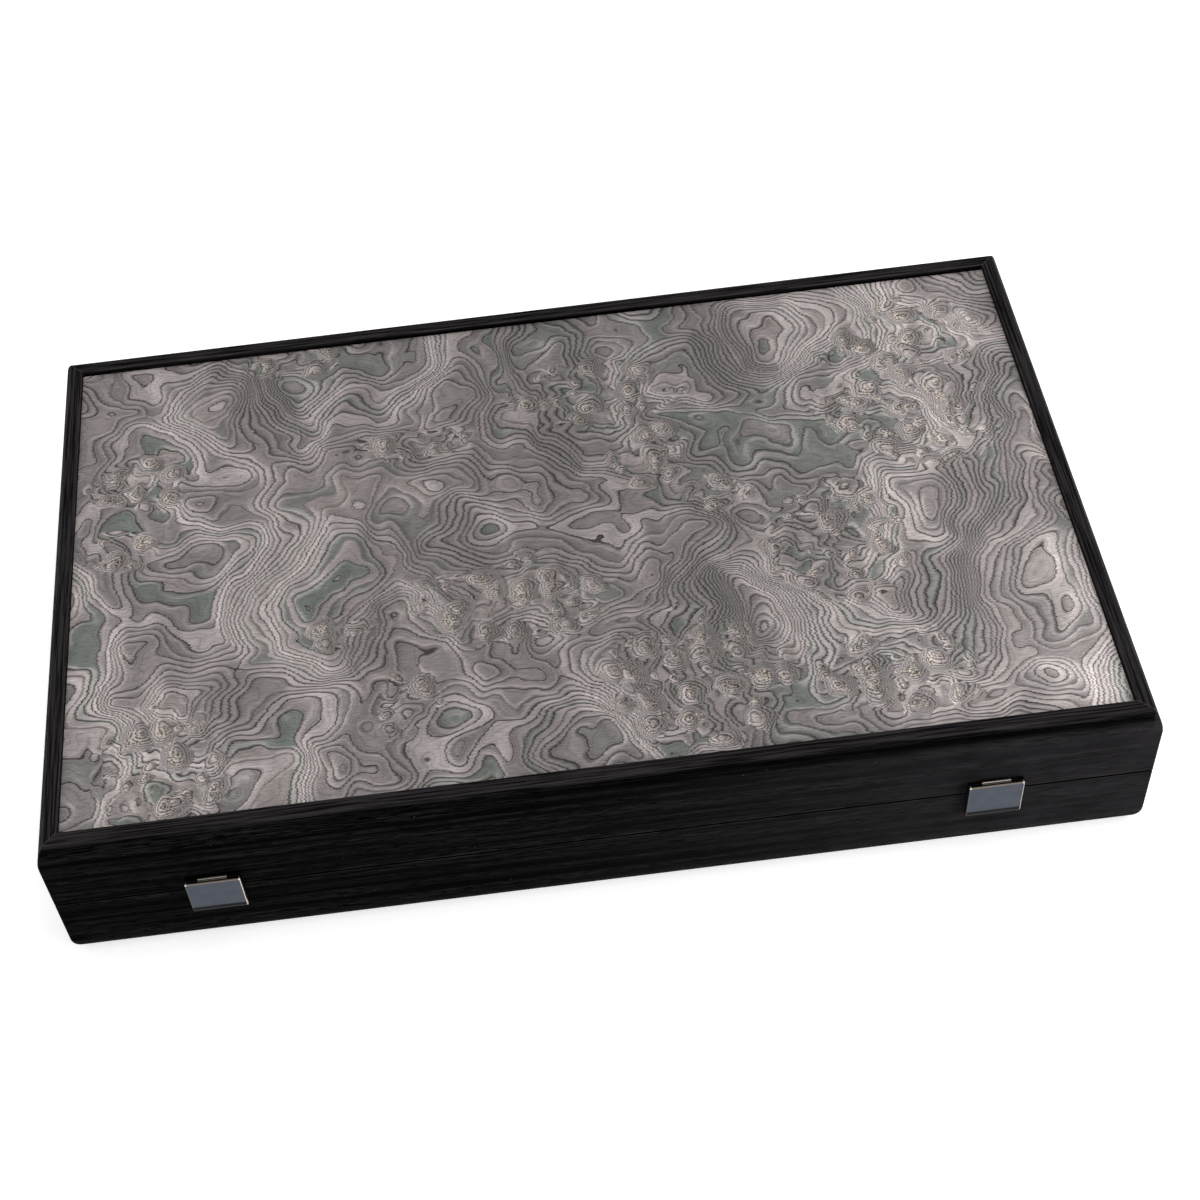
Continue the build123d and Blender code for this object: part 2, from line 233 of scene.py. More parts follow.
    def ramp(self, value: Feed, low: float, high: float, start: float = 0.0, end: float = 1.0,
             smooth: bool = True) -> Socket:
        """Maps a range of a value onto another, held at its ends.

        Args:
            value: The value.
            low: Where the range starts.
            high: Where the range ends.
            start: The result at low.
            end: The result at high.
            smooth: Whether the ends are eased.

        Returns:
            The mapped value.
        """
        made = self.node("MapRange", {"Value": value, "From Min": low, "From Max": high, "To Min": start,
                                      "To Max": end}, interpolation_type="SMOOTHSTEP" if smooth else "LINEAR")
        return made.outputs[0]

    def mix(self, factor: Feed, first: Feed, second: Feed, blend: str = "MIX") -> Socket:
        """Mixes two colours by the share of the second, in a blend mode of the Mix node."""
        made = self.node("Mix", {0: factor, 6: first, 7: second}, data_type="RGBA", blend_type=blend)
        return made.outputs[2]

    def stops(self, value: Feed, stops: Sequence[tuple[float, Colour]]) -> Socket:
        """Adds a Color Ramp.

        Args:
            value: The value that picks the colour.
            stops: Places from 0 to 1 with their colours.

        Returns:
            The colour.
        """
        made = self.node("ValToRGB", {0: value})
        elements = made.color_ramp.elements
        while len(elements) < len(stops):
            elements.new(0.5)
        for element, (place, colour) in zip(elements, stops):
            element.position = place
            element.color = (*colour, 1.0)
        return made.outputs[0]

    def group(self, effect: "Effect", **feeds: Feed) -> bpy.types.bpy_prop_collection:
        """Places an effect's node group, and returns its outputs."""
        return self.node("Group", feeds, node_tree=effect.tree()).outputs

    def finish(self, shader: bpy.types.Node, inputs: dict[str, Feed],
               relief: tuple[Feed, float, float] | None = None) -> None:
        """Feeds a shader.

        Args:
            shader: The shader.
            inputs: Feeds and plain values by input name.
            relief: Height of the surface's fine relief, with the strength and distance of its bump.
        """
        for name, value in inputs.items():
            self.feed(shader.inputs[name], value)
        if relief is not None:
            height, strength, distance = relief
            bump = self.node("Bump", {"Strength": strength, "Distance": distance, "Height": height})
            self.feed(shader.inputs["Normal"], bump.outputs["Normal"])


Given = Sequence[Socket]
Fill = Callable[[Graph, Given], dict[str, Feed]]


@dataclass(frozen=True)
class Effect:
    """An effect as a node group, built once and placed in each material that uses it.

    Inputs are names with a socket type, outputs the same, and fill gets the graph and the group's inputs
    and returns what feeds each output.
    """

    name: str
    inputs: dict[str, str]
    outputs: dict[str, str]
    fill: Fill

    def tree(self) -> bpy.types.NodeTree:
        """Finds the group's tree, or builds it the first time.

        Returns:
            The tree.
        """
        known = bpy.data.node_groups.get(self.name)
        if known is not None:
            return known
        made = bpy.data.node_groups.new(self.name, "ShaderNodeTree")
        for sockets, side in ((self.inputs, "INPUT"), (self.outputs, "OUTPUT")):
            for label, kind in sockets.items():
                made.interface.new_socket(label, in_out=side, socket_type="NodeSocket" + kind)
        graph = Graph(made)
        source = made.nodes.new("NodeGroupInput")
        sink = made.nodes.new("NodeGroupOutput")
        for label, value in self.fill(graph, source.outputs).items():
            graph.feed(sink.inputs[label], value)
        return made


def fill_open_grain(graph: Graph, given: Given) -> dict[str, Feed]:
    """Fibres, open pores and broad figure of a wood whose grain runs along X.

    Args:
        graph: The group's graph.
        given: The coordinate in millimetres.

    Returns:
        Fibre, Pores and Figure, each from 0 to 1.
    """
    spot = given[0]
    fibre = graph.noise(graph.mapped(spot, scale=(0.02, 1, 1)), 0.8, 3.0, 0.65)
    figure = graph.noise(graph.mapped(spot, scale=(0.012, 1, 1)), 4.5, 2.0)
    dashes = graph.noise(graph.mapped(spot, scale=(0.075, 1, 1)), 0.5, 1.0)
    crowd = graph.ramp(figure, 0.35, 0.65, 0.0, 0.12)
    pores = graph.ramp(graph.math("ADD", dashes, crowd), 0.6, 0.7)
    return {"Fibre": graph.ramp(fibre, 0.28, 0.72), "Pores": pores, "Figure": figure}


def fill_dust(graph: Graph, given: Given) -> dict[str, Feed]:
    """Sparse specks of dust.

    Args:
        graph: The group's graph.
        given: The coordinate in millimetres, and the share of cells that hold a speck.

    Returns:
        Specks, a mask.
    """
    distance, pick = graph.cells(given[0], 10 / 3)
    chosen = graph.math("LESS_THAN", pick, given[1])
    return {"Specks": graph.times(chosen, graph.ramp(distance, 0.075, 0.03))}


def fill_handling(graph: Graph, given: Given) -> dict[str, Feed]:
    """Smudges and hair scratches from handling.

    Args:
        graph: The group's graph.
        given: The coordinate in millimetres.

    Returns:
        Smudges and Scratches, each from 0 to 1.
    """
    spot = given[0]
    smudges = graph.ramp(graph.noise(spot, 7.0, 3.0, 0.6), 0.3, 0.7)
    hair = graph.noise(graph.mapped(spot, turn=23, scale=(0.05, 1, 1)), 0.3, 1.0)
    return {"Smudges": smudges, "Scratches": graph.ramp(hair, 0.66, 0.74)}


OPEN_GRAIN = Effect("open_grain", {"Vector": "Vector"},
                    {"Fibre": "Float", "Pores": "Float", "Figure": "Float"}, fill_open_grain)
DUST = Effect("dust", {"Vector": "Vector", "Share": "Float"}, {"Specks": "Float"}, fill_dust)
HANDLING = Effect("handling", {"Vector": "Vector"}, {"Smudges": "Float", "Scratches": "Float"}, fill_handling)


@dataclass(frozen=True)
class BurlForm:
    """A hill or hollow in the stack of dyed layers that the veneer is sliced from, in millimetres."""

    x: float
    y: float
    across: float
    along: float
    turn: float
    layers: float
    edge: float


@dataclass(frozen=True)
class EyeCluster:
    """A patch of small steep knots, in millimetres."""

    x: float
    y: float
    across: float
    along: float


BURL_FORMS = (
    BurlForm(-234, 87, 40, 36, 0, 12, 1.1),
    BurlForm(-150, 92, 19, 76, 30, 9, 1.3),
    BurlForm(-104, 13, 25, 58, 3, 13, 1.3),
    BurlForm(-170, -72, 19, 66, -54, 9, 1.3),
    BurlForm(-122, 112, 16, 32, 8, -9, 1.3),
    BurlForm(-43, 102, 17, 38, 0, 10, 1.2),
    BurlForm(-4, 122, 10, 24, 0, -5, 1.3),
    BurlForm(113, 110, 22, 50, 0, -12, 1.3),
    BurlForm(208, -66, 28, 62, 2, -14, 1.2),
    BurlForm(76, -60, 15, 44, 30, -10, 1.2),
    BurlForm(-4, -50, 70, 44, 6, 10, 1.8),
    BurlForm(-56, -40, 10, 12, 0, 5, 1.2),
    BurlForm(-15, -70, 13, 10, 20, -5, 1.2),
    BurlForm(40, 4, 62, 18, -34, 7, 1.2),
    BurlForm(-198, -39, 28, 18, 15, 8, 1.1),
    BurlForm(-212, -70, 11, 9, 0, 4, 1.1),
    BurlForm(-47, 32, 17, 14, 0, 7, 1.1),
    BurlForm(161, -28, 19, 66, -27, 9, 1.2),
    BurlForm(196, 42, 14, 34, 6, 8, 1.2),
    BurlForm(212, 113, 17, 60, 45, 11, 1.2),
    BurlForm(228, 22, 14, 44, 10, -7, 1.2),
    BurlForm(-109, -70, 10, 16, 30, 7, 1.1),
    BurlForm(-121, -119, 16, 26, 0, 8, 1.1),
    BurlForm(16, -101, 12, 19, -10, 6, 1.1),
    BurlForm(150, -122, 42, 12, 0, -6, 1.2),
    BurlForm(-60, -122, 42, 12, 30, 6, 1.2),
)
EYE_CLUSTERS = (
    EyeCluster(-200, 60, 26, 14),
    EyeCluster(-66, 62, 27, 10),
    EyeCluster(26, 84, 42, 22),
    EyeCluster(44, 38, 17, 17),
    EyeCluster(182, 98, 42, 24),
    EyeCluster(172, 44, 38, 28),
    EyeCluster(72, 10, 15, 9),
    EyeCluster(123, -28, 31, 33),
    EyeCluster(-188, -108, 28, 31),
    EyeCluster(-101, -47, 19, 10),
    EyeCluster(48, -98, 40, 33),
    EyeCluster(134, -108, 34, 20),
    EyeCluster(-77, -90, 13, 16),
    EyeCluster(-30, -40, 40, 22),
    EyeCluster(-205, 18, 16, 12),
    EyeCluster(-120, 132, 26, 10),
)


BURL_STIRS = ((46.0, 22.0), (14.0, 2.2))  # size and reach of each stirring of the layers, in millimetres
KNOT_STIR = 7.0  # reach of the finer stirring on the eyes, in millimetres
BURL_RIPPLES = ((48.0, 14.0), (17.0, 3.6))  # size in millimetres and height in layers
BURL_CURL = 8.5  # size of the ripples that crowd the patches of eyes, in millimetres
BURL_EYES = ((16.0, 4.4, 0.15), (8.0, 2.2, 0.55))  # spacing in millimetres, height in layers, share left out


def fill_burl_ground(graph: Graph, given: Given) -> dict[str, Feed]:
    """The stirred coordinates that the dyed layers follow, and where the eyes are.

    Each patch hands the sum on in the coordinate's Z, so that the renderer works through them in turn and a
    long list fits its memory.

    Args:
        graph: The group's graph.
        given: The coordinate in millimetres.

    Returns:
        Layers and Knots, two coordinates, and Patch, a mask.
    """
    spot = given[0]
    warped = spot
    for size, reach in BURL_STIRS:
        stir = graph.stir(spot, size)
        warped = graph.vector("ADD", warped, graph.vector("SCALE", stir, reach))
    stirred = graph.vector("ADD", spot, graph.vector("SCALE", stir, KNOT_STIR))
    flat = graph.vector("MULTIPLY", warped, (1.0, 1.0, 0.0))
    carried = flat
    for cluster in EYE_CLUSTERS:
        local = graph.mapped(carried, (cluster.x, cluster.y, 0),
                             scale=(cluster.across, cluster.along, ANY_HEIGHT), kind="TEXTURE")
        carried = graph.pushed(carried, graph.ramp(graph.vector("LENGTH", local), 1.3, 0.75), 2)
    patch = graph.math("MINIMUM", graph.axes(carried)[2], 1.0)
    return {"Layers": flat, "Knots": stirred, "Patch": patch}


def fill_burl_height(graph: Graph, given: Given) -> dict[str, Feed]:
    """The height of the dyed layers at a point of the sheet, from the forms, the ripples and the eyes.

    Args:
        graph: The group's graph.
        given: The two coordinates and the mask of the burl ground.

    Returns:
        Height in layers, and Cores, a mask of the eyes' middles.
    """
    flat, stirred, patch = given[0], given[1], given[2]
    carried = flat
    for form in BURL_FORMS:
        local = graph.mapped(carried, (form.x, form.y, 0), form.turn,
                             (form.across, form.along, ANY_HEIGHT), "TEXTURE")
        square = graph.vector("DOT_PRODUCT", local, local)
        fall = graph.math("ADD", graph.math("POWER", square, form.edge), 1.0)
        carried = graph.pushed(carried, graph.math("DIVIDE", form.layers, fall), 2)
    total = graph.axes(carried)[2]
    for size, tall in BURL_RIPPLES:
        total = graph.scaled(graph.swing(flat, size), tall, total)
    total = graph.scaled(graph.swing(stirred, BURL_CURL), graph.scaled(patch, 1.7, 0.5), total)
    eyes: Feed = 0.0
    cores: Feed = 0.0
    for size, tall, rare in BURL_EYES:
        distance, pick = graph.cells(stirred, size, flat=True)
        dome = graph.math("SUBTRACT", 1.0, graph.math("DIVIDE", distance, 0.46), clamp=True)
        bump = graph.times(dome, graph.math("SUBTRACT", 2.0, dome))
        some = graph.ramp(pick, rare, rare + 0.3)
        eyes = graph.math("ADD", eyes, graph.times(graph.times(bump, some), tall))
        cores = graph.math("MAXIMUM", cores, graph.times(graph.ramp(distance, 0.34, 0.08), some))
    total = graph.scaled(eyes, patch, total)
    return {"Height": total, "Cores": graph.times(cores, patch)}


BURL_GROUND = Effect("burl_ground", {"Vector": "Vector"},
                     {"Layers": "Vector", "Knots": "Vector", "Patch": "Float"}, fill_burl_ground)
BURL_HEIGHT = Effect("burl_height", {"Layers": "Vector", "Knots": "Vector", "Patch": "Float"},
                     {"Height": "Float", "Cores": "Float"}, fill_burl_height)


def blank_material(name: str) -> tuple[bpy.types.Material, Graph, bpy.types.Node]:
    """Starts a material.

    Args:
        name: The material's name.

    Returns:
        The material, its graph and its Principled shader.
    """
    material = bpy.data.materials.new(name)
    material.use_nodes = True
    return material, Graph(material.node_tree), material.node_tree.nodes["Principled BSDF"]


@dataclass(frozen=True)
class BurlVeneer:
    """Grey burl veneer, sliced from dyed layers that rise and fall, so each layer shows as a contour band.

    The fray is how far the fibres carry a line to and fro, and the step how far apart the heights are read
    that give the slopes, both in millimetres.
    """

    name: str
    shift: Triple = (0.0, 0.0, 0.0)
    flip: float = 1.0
    fray: float = 2.3
    step: float = 0.75
    pale: Colour = srgb(173, 165, 164)
    warm: Colour = srgb(137, 129, 127)
    middle: Colour = srgb(119, 114, 113)
    cool: Colour = srgb(103, 108, 103)
    line: Colour = srgb(48, 41, 38)
    gold: Colour = srgb(196, 178, 152)

    def build(self) -> bpy.types.Material:
        """Builds the material.

        Returns:
            The material.
        """
        material, graph, shader = blank_material(self.name)
        spot = graph.spot(self.shift, flip=self.flip)
        height, cores, rise, drop = self.slopes(graph, spot)
        steep = graph.math("SQRT", graph.scaled(rise, rise, graph.times(drop, drop)))
        base = self.layers(graph, height, steep)
        speck = graph.noise(spot, 0.9, 1.0, flat=True)
        base = graph.mix(graph.times(graph.ramp(speck, 0.6, 0.68), cores), base, self.gold)
        base = graph.mix(graph.times(graph.ramp(speck, 0.4, 0.33), cores), base, self.line)
        # Painted light and shade: lighter where the layers rise to the right, darker where they fall, as if
        # their slopes were lit from the left; softer on steep slopes.
        painted_relief_light = graph.ramp(graph.scaled(drop, -0.2, rise), -0.42, 0.42, 0.6, 1.48)
        base = graph.mix(graph.ramp(steep, 0.35, 0.9, 1.0, 0.5), base, painted_relief_light, "MULTIPLY")
        fibre = graph.noise(graph.mapped(spot, scale=(0.1, 1.0, 1.0)), 0.55, 2.0, 0.6, flat=True)
        grain = graph.ramp(fibre, 0.3, 0.7, 0.8, 1.2, smooth=False)
        base = graph.mix(1.0, base, grain, "MULTIPLY")
        # Painted sheen towards the ends and the front right corner.
        base = graph.mix(1.0, base, self.painted_sheen(graph, spot), "MULTIPLY")
        sheen = graph.ramp(graph.noise(spot, 30.0, 2.0, flat=True), 0.3, 0.7, 0.42, 0.52)
        graph.finish(shader, {"Base Color": base, "Roughness": sheen, "Specular IOR Level": 0.25},
                     (fibre, 0.25, 0.00005))
        return material

    def slopes(self, graph: Graph, spot: Feed) -> tuple[Socket, Socket, Socket, Socket]:
        """Reads the layers' height at a point and a step to the side and back of it.

        Args:
            graph: The material's graph.
            spot: The coordinate in millimetres.

        Returns:
            The height, the mask of the eyes' middles, and the rise along X and the fall along Y over a step.
        """
        strand = graph.swing(graph.mapped(spot, scale=(0.11, 1.0, 1.0)), 0.65, 1.0)
        ground = graph.group(BURL_GROUND, Vector=graph.pushed(spot, graph.times(strand, self.fray), 0))
        read = []
        for step in ((0.0, 0.0, 0.0), (-self.step, 0.0, 0.0), (0.0, self.step, 0.0)):
            read.append(graph.group(BURL_HEIGHT, Layers=graph.vector("ADD", ground["Layers"], step),
                                    Knots=graph.vector("ADD", ground["Knots"], step), Patch=ground["Patch"]))
        height, beside, behind = [outputs["Height"] for outputs in read]
        return (height, read[0]["Cores"], graph.math("SUBTRACT", height, beside),
                graph.math("SUBTRACT", height, behind))

    def layers(self, graph: Graph, height: Feed, steep: Feed) -> Socket:
        """Colours the layers: each its own tone, a dark line at its foot and a pale band above it.

        Args:
            graph: The material's graph.
            height: The height in layers.
            steep: How many layers a step crosses.

        Returns:
            The colour.
        """
        layer = graph.math("FLOOR", height)
        tone = graph.stops(graph.draw(layer), (
            (0.0, self.cool), (0.2, self.middle), (0.45, self.warm), (0.6, self.middle),
            (0.8, self.warm), (1.0, self.pale)))
        width = graph.math("MINIMUM", graph.scaled(steep, 0.74, 0.03), 0.38)
        nearness = graph.math("DIVIDE", graph.math("FRACT", height), width)
        depth = graph.ramp(graph.draw(graph.math("ADD", layer, 0.5)), 0.1, 0.6, 0.6, 1.0)
        dark = graph.times(graph.ramp(nearness, 1.3, 0.35), depth)
        dark = graph.times(dark, graph.ramp(steep, 0.45, 1.1, 1.0, 0.72))
        light = graph.times(graph.ramp(nearness, 1.2, 2.0), graph.ramp(nearness, 5.5, 2.2))
        light = graph.times(light, graph.ramp(steep, 0.05, 0.2, 0.12, 0.62))
        thin = graph.math("FRACT", graph.scaled(height, 3.0, 0.6))
        faint = graph.ramp(graph.math("DIVIDE", thin, graph.times(width, 3.0)), 1.0, 0.3)
        faint = graph.times(faint, graph.ramp(steep, 0.3, 0.15, 0.0, 0.3))
        base = graph.mix(light, tone, self.pale)
        base = graph.mix(faint, base, self.line)
        return graph.mix(dark, base, self.line)

    def painted_sheen(self, graph: Graph, spot: Feed) -> Socket:
        """Painted sheen: the sheet brightens slowly towards its ends, most at its front right corner and a
        little along its front edge, standing in for light that its satin finish reflects.

        Args:
            graph: The material's graph.
            spot: The coordinate in millimetres.

        Returns:
            The brightness.
        """
        axes = graph.axes(spot)
        both = graph.ramp(graph.math("ABSOLUTE", axes[0]), 30.0, 235.0, 0.92, 1.14)
        near = graph.ramp(axes[1], 60.0, -130.0, 0.7, 1.6)
        last = graph.times(graph.ramp(axes[0], 90.0, 220.0, 0.0, 0.36), near)
        front = graph.ramp(axes[1], -55.0, -125.0, 0.0, 0.09)
        return graph.math("ADD", graph.math("ADD", both, last), front)


class GrainRun(Enum):
    """The way a piece's grain runs, as the turn about Z that lays it along X."""

    ALONG_LENGTH = 0.0
    ALONG_DEPTH = 90.0


def grain_spot(graph: Graph, spot: Feed, run: GrainRun, seed: float) -> Socket:
    """Lays X along a piece's grain, at the piece's own place in the plank."""
    return graph.mapped(spot, (seed, seed * 0.7, seed * 1.3), run.value)


@dataclass(frozen=True)
class BlackOak:
    """Oak stained black, with open pores along the grain, pale arris lines that are partly wear and partly
    painted highlight, and painted sheen on its tops and towards the front's right end.

    The pale lines run at a set distance in from the case's outline, or from its seam, in millimetres.
    """

    name: str
    run: GrainRun = GrainRun.ALONG_LENGTH
    seed: float = 0.0
    mitred: bool = True
    arris_inset: float = 4.1
    inner_inset: float = 9.8
    seam_inset: float = 0.8
    deep: Colour = srgb(1, 1, 1)
    fibre: Colour = srgb(40, 39, 39)
    pore: Colour = srgb(1, 1, 1)
    # Pale of the edge lines, partly rubbed wear and partly painted highlight.
    worn_and_lit_edge: Colour = srgb(92, 86, 82)
    # Grey of the painted sheen on the front towards its right end.
    right_sheen_grey: Colour = srgb(74, 71, 75)
    # Grey of the painted sheen on the rims' tops and the right arris.
    top_sheen: Colour = srgb(51, 48, 50)
    speck: Colour = srgb(150, 146, 142)

    def build(self) -> bpy.types.Material:
        """Builds the material.

        Returns:
            The material.
        """
        material, graph, shader = blank_material(self.name)
        spot = graph.spot()
        along = grain_spot(graph, spot, self.run, self.seed)
        grain = graph.group(OPEN_GRAIN, Vector=along)
        dust = graph.group(DUST, Vector=spot, Share=0.05)
        handling = graph.group(HANDLING, Vector=along)
        streak = graph.ramp(grain["Figure"], 0.36, 0.64, 0.05, 1.0)
        # Fibres break up the painted sheen on the tops.
        satin = graph.ramp(grain["Fibre"], 0.2, 0.8, 0.1, 0.95)
        base = self.deep
        # Besides the stain's grain, pores, dark joint and dust, this paints sheen on the tops and towards the
        # front's right end, and pale edge lines that are partly wear and partly painted highlight.
        for mask, share, colour in (
                (grain["Fibre"], streak, self.fibre), (grain["Pores"], 0.85, self.pore),
                (self.top(graph, spot), satin, self.top_sheen), (self.wear_and_edge_highlights(graph, spot), 0.5, self.worn_and_lit_edge),
                (self.front_right_sheen(graph, spot), 0.25, self.right_sheen_grey), (self.joint(graph, spot), 1.0, self.pore),
                (dust["Specks"], 0.45, self.speck)):
            base = graph.mix(graph.times(mask, share), base, colour)
        rough = graph.scaled(handling["Smudges"], 0.1, 0.4)
        rough = graph.scaled(grain["Pores"], 0.25, rough)
        relief = graph.scaled(grain["Fibre"], 0.35, graph.times(grain["Pores"], -1.0))
        graph.finish(shader, {"Base Color": base, "Roughness": rough, "Specular IOR Level": 0.004},
                     (relief, 0.6, 0.00012))
        return material

    def front_right_sheen(self, graph: Graph, spot: Feed) -> Socket:
        """Painted sheen: a grey haze on the front that grows towards its right end, as if lit from the right.

        Args:
            graph: The material's graph.
            spot: The coordinate in millimetres, with the case's middle at zero.

        Returns:
            The mask.
        """
        axes = graph.axes(spot)
        front = graph.ramp(axes[1], 2.0 - HALF_DEPTH, 0.3 - HALF_DEPTH)
        rightward = graph.ramp(axes[0], -60.0, 230.0)
        cloud = graph.noise(graph.mapped(spot, scale=(0.2, 1, 1)), 5.0, 3.0, 0.6)
        return graph.times(graph.times(front, rightward), graph.ramp(cloud, 0.3, 0.7, 0.6, 1.2))

    def top(self, graph: Graph, spot: Feed) -> Socket:
        """Painted sheen where light from above and from the right would catch the stain: the rims' flat tops
        and the right end's arris.

        Args:
            graph: The material's graph.
            spot: The coordinate in millimetres, with the case's middle at zero.

        Returns:
            The mask.
        """
        axes = graph.axes(spot)
        from_seam = graph.off(axes[2], SEAM)
        arris = graph.ramp(axes[0], HALF_LENGTH - 4.5, HALF_LENGTH - 3.5)
        arris = graph.times(arris, graph.ramp(from_seam, 27.0, 36.0))
        return graph.math("MAXIMUM", graph.ramp(from_seam, 37.8, 39.7), arris)

    def joint(self, graph: Graph, spot: Feed) -> Socket:
        """A mask of the dark seam between the halves, as seen on the outside."""
        near = graph.ramp(graph.off(graph.axes(spot)[2], SEAM), 0.65, 0.45)
        return graph.times(near, graph.ramp(self.inward(graph, spot), 1.4, 1.0))

    def inward(self, graph: Graph, spot: Feed) -> Socket:
        """How far inside the case's outline a point lies.

        Args:
            graph: The material's graph.
            spot: The coordinate in millimetres, with the case's middle at zero.

        Returns:
            The distance in millimetres.
        """
        axes = graph.axes(spot)
        from_end = graph.math("SUBTRACT", HALF_LENGTH, graph.math("ABSOLUTE", axes[0]))
        from_side = graph.math("SUBTRACT", HALF_DEPTH, graph.math("ABSOLUTE", axes[1]))
        return graph.math("MINIMUM", from_end, from_side)

    def wear_and_edge_highlights(self, graph: Graph, spot: Feed) -> Socket:
        """Thin pale lines at the seam, the arrises, the inner edges and the mitres, patchily worn: partly
        rubbed wear, partly painted highlight where rounded edges would catch the light.

        Args:
            graph: The material's graph.
            spot: The coordinate in millimetres, with the case's middle at zero.

        Returns:
            The mask.
        """
        axes = graph.axes(spot)
        from_seam = graph.off(axes[2], SEAM)
        inward = self.inward(graph, spot)
        arris = graph.ramp(graph.off(inward, self.arris_inset), 0.45, 0.1, 0.0, 0.25)
        inner = graph.ramp(graph.off(inward, self.inner_inset), 0.4, 0.1, 0.0, 0.6)
        lines = graph.times(graph.math("MAXIMUM", arris, inner), graph.ramp(from_seam, 39.3, 39.8))
        seam = graph.ramp(graph.off(from_seam, self.seam_inset), 0.35, 0.1)
        seam = graph.times(seam, graph.ramp(inward, 1.4, 1.0, 0.0, 0.5))
        worn = graph.ramp(graph.noise(spot, 16.0, 3.0, 0.7), 0.35, 0.65, 0.1, 1.0)
        lines = graph.times(graph.math("MAXIMUM", lines, seam), worn)
        if not self.mitred:
            return lines
        lead = graph.math("SUBTRACT", graph.math("ABSOLUTE", axes[0]), graph.math("ABSOLUTE", axes[1]))
        mitre = graph.ramp(graph.off(lead, HALF_LENGTH - HALF_DEPTH), 0.3, 0.08)
        return graph.math("MAXIMUM", lines, mitre)


@dataclass(frozen=True)
class GrainedWood:
    """A plain wood or veneer under thin lacquer, with its grain along the length or the depth."""

    name: str
    dark: Colour
    light: Colour
    pore: Colour
    run: GrainRun = GrainRun.ALONG_LENGTH
    seed: float = 0.0
    roughness: float = 0.42
    coat: float = 0.0
    relief: float = 0.25

    def build(self) -> bpy.types.Material:
        """Builds the material.

        Returns:
            The material.
        """
        material, graph, shader = blank_material(self.name)
        spot = graph.spot()
        along = grain_spot(graph, spot, self.run, self.seed)
        grain = graph.group(OPEN_GRAIN, Vector=along)
        handling = graph.group(HANDLING, Vector=along)
        share = graph.scaled(grain["Fibre"], 0.6, graph.ramp(grain["Figure"], 0.3, 0.7, 0.0, 0.4))
        base = graph.mix(share, self.dark, self.light)
        base = graph.mix(graph.times(grain["Pores"], 0.7), base, self.pore)
        height = graph.scaled(grain["Fibre"], 0.3, graph.times(grain["Pores"], -1.0))
        graph.finish(shader, {
            "Base Color": base, "Roughness": graph.scaled(handling["Smudges"], 0.12, self.roughness),
            "Specular IOR Level": 0.2, "Coat Weight": self.coat, "Coat Roughness": 0.15},
            (height, self.relief, 0.0001))
        return material


@dataclass(frozen=True)
class Plywood:
    """Birch plywood, with its plies showing at the edges."""

    name: str
    ply: float = 2.4
    pale: Colour = srgb(205, 182, 146)
    dark: Colour = srgb(158, 126, 88)

    def build(self) -> bpy.types.Material:
        """Builds the material.

        Returns:
            The material.
        """
        material, graph, shader = blank_material(self.name)
        spot = graph.spot()
        grain = graph.group(OPEN_GRAIN, Vector=spot)
        ply = graph.math("FRACT", graph.math("DIVIDE", graph.axes(spot)[2], self.ply))
        glue = graph.ramp(graph.off(ply, 0.5), 0.06, 0.03)
        base = graph.mix(graph.times(grain["Fibre"], 0.6), self.pale, self.dark)
        base = graph.mix(graph.times(glue, 0.6), base, self.dark)
        graph.finish(shader, {"Base Color": base, "Roughness": graph.scaled(grain["Figure"], 0.15, 0.55)})
        return material


@dataclass(frozen=True)
class SatinMetal:
    """A plated metal with a satin face, faint smudges and hair scratches."""

    name: str
    colour: Colour
    worn: Colour
    roughness: float = 0.28
    brushed: bool = False

    def build(self) -> bpy.types.Material:
        """Builds the material.

        Returns:
            The material.
        """
        material, graph, shader = blank_material(self.name)
        spot = graph.spot()
        handling = graph.group(HANDLING, Vector=spot)
        stretch = (0.02, 1, 1) if self.brushed else (1, 1, 1)
        fine = graph.noise(graph.mapped(spot, scale=stretch), 0.12, 2.0)
        cloud = graph.ramp(graph.noise(spot, 5.0, 2.0), 0.3, 0.7, 0.0, 0.3)
        base = graph.mix(cloud, self.colour, self.worn)
        base = graph.mix(graph.times(handling["Scratches"], 0.15), base, self.worn)
        rough = graph.scaled(fine, 0.06, graph.scaled(handling["Smudges"], 0.08, self.roughness))
        graph.finish(shader, {"Base Color": base, "Roughness": rough, "Metallic": 1.0},
                     (fine, 0.12, 0.00003))
        return material


